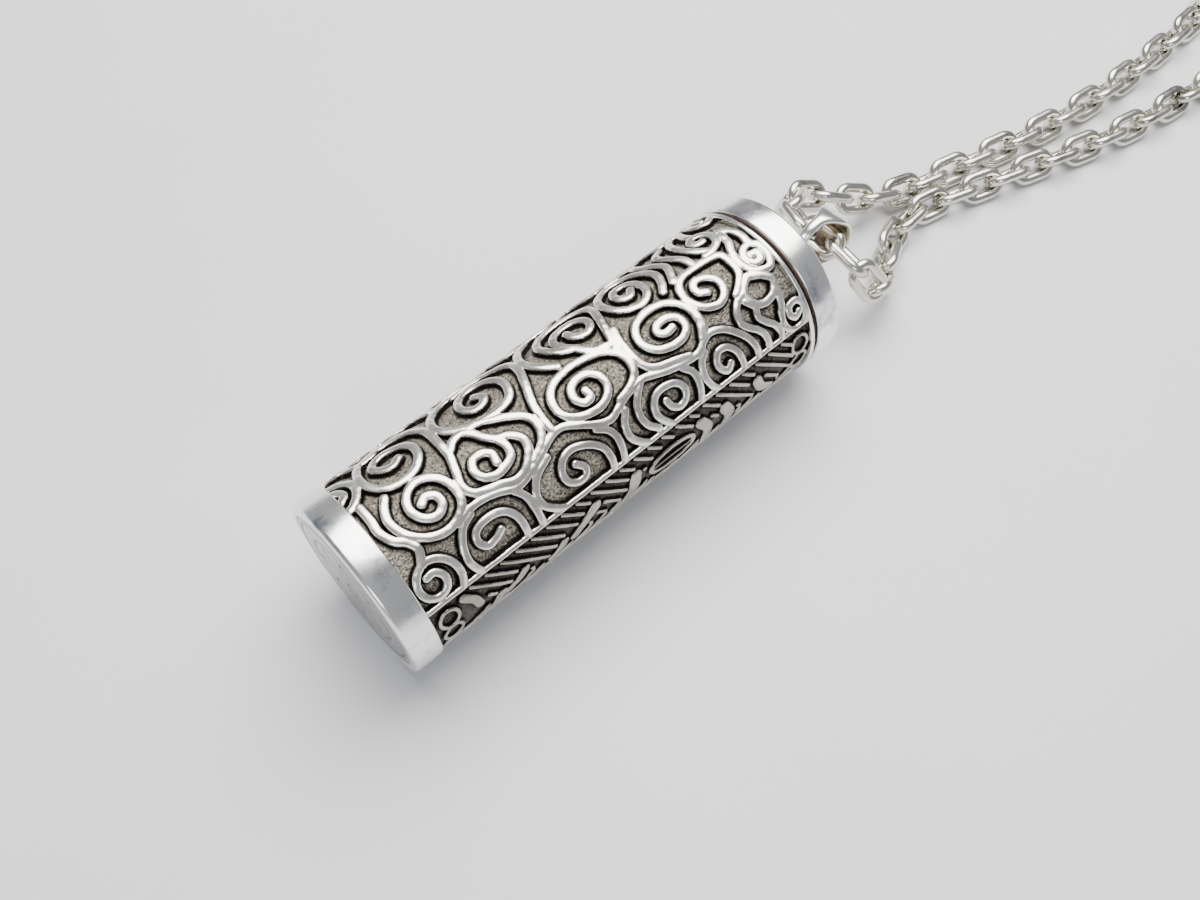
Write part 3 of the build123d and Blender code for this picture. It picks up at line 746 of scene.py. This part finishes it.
def base_disc():
    """The end plate, with an engraved rosette and two turned lines."""
    rings, segments = 150, 360
    rim_width = 0.15
    angles = circle_angles(segments)
    r, a = np.meshgrid(np.linspace(0.0, PLATE_R, rings), angles, indexing="ij")
    petal = np.abs(np.cos(a * 4)) ** 1.5 * 3.3 + 0.5
    cut = engraved_line(r - 6.0, 0.09) + engraved_line(r - 4.4, 0.09) + engraved_line(r - 0.55, 0.12)
    cut = np.clip(cut + engraved_line(r - petal, 0.15) * (r < 4.2), 0, 1)
    rim = np.clip((r - (PLATE_R - rim_width)) / rim_width, 0, 1) ** 2
    front = turned(BASE_X + 0.10 * cut + 0.12 * rim, r, a)
    back = turned(BASE_X + PLATE_THICKNESS, np.array([[PLATE_R], [0.0]]), angles)
    black = np.concatenate([cut.ravel(), np.zeros(len(back))])
    obj = make_mesh("end_plate", np.vstack([front, back]), grid_faces(rings + 2, segments, False, True),
                    {"groove": black}, 50)
    tidy(obj)
    return obj


def thread_dip(x, angle, start, end):
    """How far a rounded thread lies under its crest, in mm; it fades out at its ends."""
    phase = (x / THREAD_PITCH - angle / (2 * math.pi)) % 1.0
    crest = 0.5 - 0.5 * np.cos(2 * math.pi * phase)
    fade = np.clip((x - start) / 0.5, 0, 1) * np.clip((end - x) / 0.5, 0, 1)
    return THREAD_DEPTH * (1 - crest ** 0.8 * fade)


def threaded(name, profile, thread):
    """A turned solid; thread(x, angle) moves the radius of the points that profile marks with 1."""
    segments = 160
    x, r, marked = np.array(profile).T[:, :, None]
    return turned_solid(name, x, r + marked * thread(x, circle_angles(segments)), segments, 45)


def threaded_bush():
    """The mouth's bush, threaded inside, with a step on the tube's end."""
    start, end = MOUTH_X - BUSH_LENGTH, MOUTH_X
    bore = [(x, MOUTH_R, 1.0) for x in np.arange(end - 0.15, start + 0.1, -0.06)]
    outer = TUBE_INNER_R - GAP
    step = LIP_START + GAP
    profile = [(start, MOUTH_R + 0.1, 0), (start, outer, 0), (step, outer, 0), (step, TUBE_OUTER_R, 0),
               (end - 0.08, TUBE_OUTER_R, 0), (end, TUBE_OUTER_R - 0.08, 0), (end, MOUTH_R + 0.15, 0)]
    return threaded("threaded_bush", profile + bore,
                    lambda x, a: thread_dip(x, a, start, end) * (x < end - 0.1))


# -------- cap

def build_cap():
    ring = lathe("cap_ring", [(CAP_START, PLATE_R + GAP, 0.03), (CAP_START, OUTER_R, 0.15),
                              (CAP_TOP, OUTER_R, 0.35), (CAP_TOP, PLATE_R + GAP, 0.05)], 256)
    dress(ring, SILVER, "cap", "cap_band")
    start = CAP_START + FLANGE_THICKNESS + GAP
    top = CAP_TOP + DOME_RISE
    rim = CAP_TOP - 0.2
    dome_points = [(start, 0.0, 0), (start, PLATE_R, 0.03), (rim, PLATE_R, 0.06)]
    for k in range(1, 24):
        t = k / 24
        r = PLATE_R * math.cos(t * math.pi / 2) ** 0.9
        if r < 1.5:
            break
        dome_points.append((rim + (top - rim) * math.sin(t * math.pi / 2) ** 1.3, r, 0))
    dome_points += [(top, 1.5, 0), (top, 0.0, 0)]
    dress(lathe("dome_plate", dome_points, 192, sharp_deg=30), SILVER, "cap", "cap_dome")
    dress(threaded_plug(), INNER, "cap", "screw_plug")
    section = round_section(0.325, 0.5, 3.0)
    middle = Vector((EYELET_X, 0, OUTER_R))
    loop = ring_solid("loop_ring", middle, EYELET_R, lambda a: section, 72, (X, Y, Z))
    tip = EYELET_X - 1.02
    foot = lathe("loop_foot", [(top, 0.0, 0), (top, 1.35, 0.02), (top + 0.16, 1.12, 0.12),
                               (top + 0.5, 0.72, 0.2), (tip, 0.52, 0.05), (tip, 0.0, 0)], 96, sharp_deg=60)
    for piece in (loop, foot):
        dress(piece, SILVER, "cap", "eyelet")


def threaded_plug():
    """The cap's hollow plug, threaded outside, with a flange."""
    end, bore_end, flange = CAP_START - PLUG_LENGTH, CAP_START + 0.65, CAP_START + FLANGE_THICKNESS
    screw = [(x, PLUG_R, 1.0) for x in np.arange(end + 0.15, CAP_START - 0.1, 0.06)]
    bore = [(bore_end, 0.0, 0), (bore_end, PLUG_BORE_R, 0), (end, PLUG_BORE_R, 0), (end, PLUG_R - 0.35, 0)]
    head = [(CAP_START, PLUG_R, 0), (CAP_START, PLATE_R, 0), (flange, PLATE_R, 0), (flange, 0.0, 0)]
    return threaded("threaded_plug", bore + screw + head,
                    lambda x, a: -thread_dip(x, a, end, CAP_START - 0.6) * (x < CAP_START - 0.5))


def build_seal():
    start, end, bore = MOUTH_X + 0.04, CAP_START - 0.04, MOUTH_R + 0.04
    seal = lathe("sealing_washer", [(start, bore, 0.05), (start, WASHER_R, 0.12), (end, WASHER_R, 0.12),
                                    (end, bore, 0.05)], 160)
    dress(seal, RUBBER, "seal", "gasket")


# -------- necklace

def bail_section(angle):
    """The bail's section: wide on its far side, narrow where it hangs in the eyelet."""
    narrow_to, taper = -0.3, 2.6
    t = min(max((BAIL_R * math.cos(angle) - narrow_to) / taper, 0.0), 1.0)
    return round_section(0.34, 0.5 + ease(t), 2.0 + 1.6 * t, 40)


def build_bail():
    middle = Vector((BAIL_X, 0, OUTER_R))
    ring = ring_solid("tapered_bail", middle, BAIL_R, bail_section, 120, (X, Z, Y))
    # Marks the inside of the ring, where the painted reflection and shade go.
    layer = ring.data.attributes.new("inside", "FLOAT", "POINT")
    for vertex, value in zip(ring.data.vertices, layer.data):
        spoke = vertex.co - middle * MM
        value.value = 1.0 if math.hypot(spoke.x, spoke.z) < (BAIL_R - 0.03) * MM else 0.0
    dress(ring, BAIL, "necklace", "bail")


def link_mesh():
    """Points and faces of one oval link lying in XY with its length along X."""
    around, along = 16, 44
    half = (LINK_LENGTH - LINK_WIDTH) / 2
    bend = (LINK_WIDTH - LINK_WIRE) / 2
    half_way = 2 * half + math.pi * bend
    verts = []
    for i in range(along):
        s = 2 * half_way * i / along
        way = 1
        if s >= half_way:
            s -= half_way
            way = -1
        if s < 2 * half:
            place, out = Vector((s - half, bend, 0)), Y
        else:
            angle = math.pi / 2 - (s - 2 * half) / bend
            out = X * math.cos(angle) + Y * math.sin(angle)
            place = X * half + out * bend
        for j in range(around):
            b = 2 * math.pi * j / around
            wire = out * (way * math.cos(b)) + Z * math.sin(b)
            verts.append(place * way + wire * (LINK_WIRE / 2))
    return np.array(verts), grid_faces(along, around, True, True)


def link_frame(tangent, roll_deg):
    """A link's rotation: its length along the tangent, its face rolled from the upright."""
    t = tangent.normalized()
    up = (Z - t * t.dot(Z)).normalized()
    side = t.cross(up)
    roll = math.radians(roll_deg)
    normal = up * math.cos(roll) + side * math.sin(roll)
    across = normal.cross(t)
    return Matrix((t, across, normal)).transposed()


# Each strand's route: from the bail link down to the floor and along it to the hank.
LEFT_ROUTE = [
    (BAIL_LINK_X, 2.3, OUTER_R), (23.9, 4.4, 7.2), (25.8, 5.6, 6.2), (28.5, 5.0, 4.8), (31.4, 3.6, 3.3),
    (34.7, 2.5, 1.9), (38.6, 1.6, 1.3), (43.4, 0.5, 1.3), (49.4, -1.0, 1.3), (56.4, -2.3, 1.3),
    (64.4, -3.0, 1.3), (72.6, -2.8, 1.3), (79.4, -2.4, 1.3), (84.8, 0.2, 1.3), (89.0, 3.2, 1.3),
]
RIGHT_ROUTE = [
    (BAIL_LINK_X, -2.3, OUTER_R), (23.3, -4.4, 7.1), (24.0, -5.7, 5.3), (25.8, -5.3, 3.4), (28.7, -3.3, 2.1),
    (32.3, -1.2, 1.4), (36.8, -0.5, 1.3), (41.6, -2.1, 1.3), (47.8, -4.0, 1.3), (54.6, -6.2, 1.3),
    (61.8, -7.9, 1.3), (69.2, -8.6, 1.3), (75.4, -10.2, 1.3), (80.8, -12.6, 1.7), (86.6, -14.0, 3.3),
]
# The last of each strand, from the hank to the ring that it holds.
LEFT_END = [(113.4, -10.2, 1.3), (112.3, -9.2, 1.3), (112.2, -6.9, 1.2)]
RIGHT_END = [(101.0, 0.3, 3.6), (98.4, 0.2, 3.2), (97.1, -0.6, 2.2), (97.0, -1.9, 1.3), (97.0, -3.0, 1.15)]


def hank_points(height, side):
    """Long loops inwards from the hank's left end, starting along its far side (1) or its near one (-1)."""
    x, y = HANK_CENTRE
    on_straight = 0.3
    points = []
    for k in range(HANK_HALVES):
        start_r = HANK_R - LANE * k / 2
        way = 1 if k % 2 == 0 else -1
        for i in range(5):
            t = i / 4
            r = start_r - LANE / 2 * t * on_straight
            points.append((x + way * HANK_HALF * (2 * t - 1), y + side * way * r, height))
        for i in range(1, 8):
            t = i / 8
            r = start_r - LANE / 2 * (on_straight + (1 - on_straight) * t)
            angle = math.pi / 2 - math.pi * t
            points.append((x + way * (HANK_HALF + r * math.cos(angle)),
                           y + side * way * r * math.sin(angle), height))
    return points


def nurbs_points(name, route):
    """Points in mm along the smooth line that a route guides."""
    curve = bpy.data.curves.new(name, "CURVE")
    curve.dimensions = "3D"
    curve.resolution_u = 16
    spline = curve.splines.new("NURBS")
    spline.points.add(len(route) - 1)
    for point, (x, y, z) in zip(spline.points, route):
        point.co = (x * MM, y * MM, z * MM, 1)
    spline.order_u = 3
    spline.use_endpoint_u = True
    guide = placed(name, curve)
    bpy.context.view_layer.update()
    mesh = bpy.data.meshes.new_from_object(guide)
    points = [v.co / MM for v in mesh.vertices]
    bpy.data.objects.remove(guide)
    bpy.data.meshes.remove(mesh)
    return points


def walk(points, distances):
    """(place, tangent) at each distance along a line of points."""
    lengths = [0.0]
    for a, b in zip(points, points[1:]):
        lengths.append(lengths[-1] + (b - a).length)
    places = []
    i = 0
    for s in distances:
        while i < len(points) - 2 and lengths[i + 1] < s:
            i += 1
        t = (s - lengths[i]) / (lengths[i + 1] - lengths[i])
        places.append((points[i].lerp(points[i + 1], t), points[i + 1] - points[i]))
    return places, lengths[-1]


def links(name, places, first_roll):
    """One mesh of links at (place, tangent) stations, turned a quarter from one to the next."""
    shape, faces = link_mesh()
    verts, quads = [], []
    for k, (place, tangent) in enumerate(places):
        roll = first_roll if k % 2 == 0 else -first_roll
        turn = np.array(link_frame(tangent, roll))
        verts.append(shape @ turn.T + np.array(place))
        quads.extend([[k * len(shape) + i for i in face] for face in faces])
    return make_mesh(name, np.vstack(verts), quads, sharp_deg=None)


def build_strand(name, route, first_roll, nodes):
    """One strand of the chain in place of its CAD nodes, with its links evenly spaced along the route."""
    points = nurbs_points(name + "_line", route)
    _, total = walk(points, [0.0])
    linked = total - FIRST_LINK - LAST_LINK
    gaps = round(linked / PITCH)
    spacing = linked / gaps
    places, _ = walk(points, [FIRST_LINK + spacing * k for k in range(gaps + 1)])
    strand = links(name, places, first_roll)
    dress(strand, CHAIN, "necklace", *nodes)


def clasp_place(u, v, z):
    """A point of the clasp's own frame in the shared frame, mm."""
    return Vector((HANK_CENTRE[0] + CLASP_U - u, HANK_CENTRE[1] - v, CLASP_HALF + z))


def clasp_polar(centre, r, angle, z):
    return clasp_place(centre[0] + r * math.cos(angle), centre[1] + r * math.sin(angle), z)


def oval_bar(start_deg, end_deg, low, high, power=3.2):
    """Points and faces of a round-ended bar that follows the clasp's oval between two angles."""
    steps = 72
    half_out, half_up = CLASP_WALL / 2, (high - low) / 2
    a, b = CLASP_OVAL[0] - half_out, CLASP_OVAL[1] - half_out
    section = round_section(half_out, half_up, power, 28)
    angles = [math.radians(start_deg + (end_deg - start_deg) * i / steps) for i in range(steps + 1)]
    places = [Vector((a * math.cos(t), b * math.sin(t))) for t in angles]
    run = [0.0]
    for here, after in zip(places, places[1:]):
        run.append(run[-1] + (after - here).length)
    verts = []
    for t, place, s in zip(angles, places, run):
        out = Vector((b * math.cos(t), a * math.sin(t))).normalized()
        near_end = min(1.0, min(s, run[-1] - s) / BAR_END)
        size = 0.35 + 0.65 * math.sqrt(1 - (1 - near_end) ** 2)
        for o, w in section:
            flat = place + out * (o * size)
            verts.append(clasp_place(flat.x, flat.y, (low + high) / 2 + w * size))
    return verts, rod_faces(steps + 1, len(section))


def round_plate(centre, radius, low, high, fillet, bore=0.0):
    """Points and faces of a disc of the clasp with eased edges."""
    corners = [(low, bore, 0), (low, radius, fillet), (high, radius, fillet), (high, bore, 0)]
    outline = soft_outline(corners, 5)
    segments = 64
    verts = [clasp_polar(centre, r, angle, z) for z, r in outline for angle in circle_angles(segments)]
    return verts, grid_faces(len(outline), segments, True, True)


def coil():
    """Points and faces of the trigger's spring, round the pivot."""
    steps = 90
    section = round_section(0.07, 0.07, 2.0, 10)
    verts = []
    for i in range(steps + 1):
        angle = 2 * math.pi * SPRING_TURNS * i / steps
        z = SPRING[0] + (SPRING[1] - SPRING[0]) * i / steps
        verts.extend(clasp_polar(PIVOT, SPRING_R + o, angle, z + w) for o, w in section)
    return verts, rod_faces(steps + 1, len(section))


def build_clasp():
    """The lobster clasp: hook, lever with its thumb tab, rivet and coil spring."""
    body_parts = [oval_bar(37, -202, -CLASP_HALF, CLASP_HALF)]
    for low, high in ((SLOT[1], CLASP_HALF), (-CLASP_HALF, SLOT[0])):
        body_parts.append(oval_bar(-190, -228, low, high))
        body_parts.append(round_plate(PIVOT, 1.3, low, high, fillet=0.16))
    tail_section = round_section(0.3, 0.5, 2.6, 24)
    body_parts.append(ring_parts(clasp_place(TAIL_U, 0, 0), 0.9, lambda a: tail_section, 56, (X, Z, Y)))
    lever_parts = [oval_bar(125, 41, *LEVER, power=2.8),
                   round_plate(PIVOT, 0.95, *LEVER, fillet=0.14, bore=0.4),
                   round_plate(THUMB_TAB, 0.55, *LEVER, fillet=0.2)]
    body = joined("clasp_hook", body_parts)
    lever = joined("clasp_gate", lever_parts)
    rivet = joined("clasp_rivet", [round_plate(PIVOT, 0.35, -CLASP_HALF, CLASP_HALF + 0.07, fillet=0.12)])
    spring = make_mesh("coil_spring", *coil(), sharp_deg=60)
    dress(body, CLASP, "necklace", "clasp_body")
    dress(lever, CLASP, "trigger", "clasp_lever")
    dress(rivet, CLASP, "necklace", "clasp_pin")
    dress(spring, CLASP, "necklace", "clasp_spring")
    return [body, lever, rivet, spring]


def cad_box(node):
    """The middle and the half size of a CAD node's box, in mm."""
    low, high = (np.array(corner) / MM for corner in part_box(node))
    return (low + high) / 2, (high - low) / 2


def build_ring(name, node, radius, tilt_deg):
    """A plain wire ring where the CAD has it, tilted about X."""
    centre = Vector(cad_box(node)[0])
    wire = round_section(RING_WIRE_R, RING_WIRE_R, 2.0, 20)
    turn = Matrix.Rotation(math.radians(tilt_deg), 3, "X")
    ring = ring_solid(name, centre, radius, lambda a: wire, 64, (turn @ X, turn @ Y, turn @ Z))
    return dress(ring, CHAIN, "necklace", node)


def build_ties():
    """Two flat cotton tapes round the hank's long sides."""
    steps, across = 72, 9
    thickness = 0.25
    squareness = 0.35
    for name, node in (("tape_near", "hank_tie_near"), ("tape_far", "hank_tie_far")):
        middle, half = cad_box(node)
        outside = [(1.0, w) for w in np.linspace(-1, 1, across)]
        inside = [(1 - thickness / half[2], w) for w in np.linspace(1, -1, across)]
        verts = []
        for i in range(steps):
            a = 2 * math.pi * i / steps
            c, s = math.cos(a), math.sin(a)
            y = half[1] * math.copysign(abs(c) ** squareness, c)
            z = half[2] * math.copysign(abs(s) ** squareness, s)
            for depth, w in outside + inside:
                slack = 1 - 0.02 * w * w
                verts.append(middle + np.array((w * half[0] * 0.95, y * depth * slack, z * depth * slack)))
        tie = make_mesh(name, verts, grid_faces(steps, 2 * across, True, True), sharp_deg=60)
        tidy(tie)
        dress(tie, TAPE, "necklace", node)


def build_bail_link():
    turn = np.array(Matrix.Rotation(math.radians(-45), 3, "Y") @ Matrix.Rotation(math.radians(90), 3, "Z"))
    shape, faces = link_mesh()
    verts = shape @ turn.T + np.array((BAIL_LINK_X, 0, OUTER_R))
    link = make_mesh("middle_link", verts, faces, sharp_deg=None)
    dress(link, CHAIN, "necklace", "bail_link")


def build_necklace():
    build_ties()
    build_bail()
    build_bail_link()
    clasp = build_clasp()
    jump = build_ring("joining_ring", "jump_ring", JUMP_RING_R, 0.0)
    end = build_ring("ending_ring", "end_ring", END_RING_R, END_RING_TILT_DEG)
    left = LEFT_ROUTE + hank_points(LOWER_Z, 1) + LEFT_END
    right = RIGHT_ROUTE + hank_points(UPPER_Z, -1) + RIGHT_END
    build_strand("left_chain", left, 45, ["chain_strand_left", "chain_hank"])
    build_strand("right_chain", right, -45, ["chain_strand_right"])


# -------- stage, light and camera

def floor_material():
    n = Nodes("pale_floor")
    cloud = n.noise(0.02, 3.0)
    grain = n.noise(1.2, 3.0)
    pale = n.ramp(cloud, [(0.3, (0.72, 0.715, 0.73)), (0.7, (0.77, 0.765, 0.78))])
    n.bump([(grain, 0.06, 0.03)])
    n.set(Base_Color=pale, Roughness=0.55)
    return n.material


def build_stage():
    corners = [(x * FLOOR_HALF, y * FLOOR_HALF, 0) for x, y in ((-1, -1), (1, -1), (1, 1), (-1, 1))]
    floor = make_mesh("floor", corners, [[0, 1, 2, 3]], sharp_deg=None)
    floor.data.materials.append(floor_material())
    world = bpy.data.worlds.new("studio")
    bpy.context.scene.world = world
    world.use_nodes = True
    background = world.node_tree.nodes["Background"]
    background.inputs["Color"].default_value = (0.86, 0.89, 0.95, 1)
    background.inputs["Strength"].default_value = 0.40


def lamp(name, kind, energy, direction):
    """A light that shines along a direction."""
    obj = placed(name, bpy.data.lights.new(name, kind))
    obj.data.energy = energy
    obj.rotation_euler = Vector(direction).to_track_quat("-Z", "Y").to_euler()
    return obj


def area_light(name, place, target, size, power, colour):
    """An oval soft box; place, target and size are in mm."""
    obj = lamp(name, "AREA", power, Vector(target) - Vector(place))
    obj.location = Vector(place) * MM
    obj.data.shape = "ELLIPSE"
    obj.data.size, obj.data.size_y = size[0] * MM, size[1] * MM
    obj.data.color = colour


def build_lights():
    area_light("key", (95, 65, 270), (10, 0, 5), size=(330, 300), power=2.2, colour=(1.0, 0.985, 0.95))
    area_light("front", (-190, -250, 220), (0, 0, 5), size=(180, 130), power=0.35, colour=(0.86, 0.92, 1.0))
    room = lamp("room", "SUN", 0.38, (-0.33, -0.22, -0.92))
    room.data.angle = math.radians(70)


def build_camera():
    camera = placed("camera", bpy.data.cameras.new("camera"))
    camera.data.lens = 36.0
    camera.data.sensor_width = 36.0
    camera.data.clip_start = 0.002
    camera.data.clip_end = 20.0
    forward = Vector(CAMERA_FORWARD).normalized()
    right = Vector(CAMERA_RIGHT)
    right = (right - forward * right.dot(forward)).normalized()
    turn = Matrix((right, right.cross(forward), -forward)).transposed().to_4x4()
    camera.matrix_world = Matrix.Translation(Vector(CAMERA_PLACE) * MM) @ turn
    bpy.context.scene.camera = camera


build_vessel()
build_cap()
build_seal()
build_necklace()
build_stage()
build_lights()
build_camera()
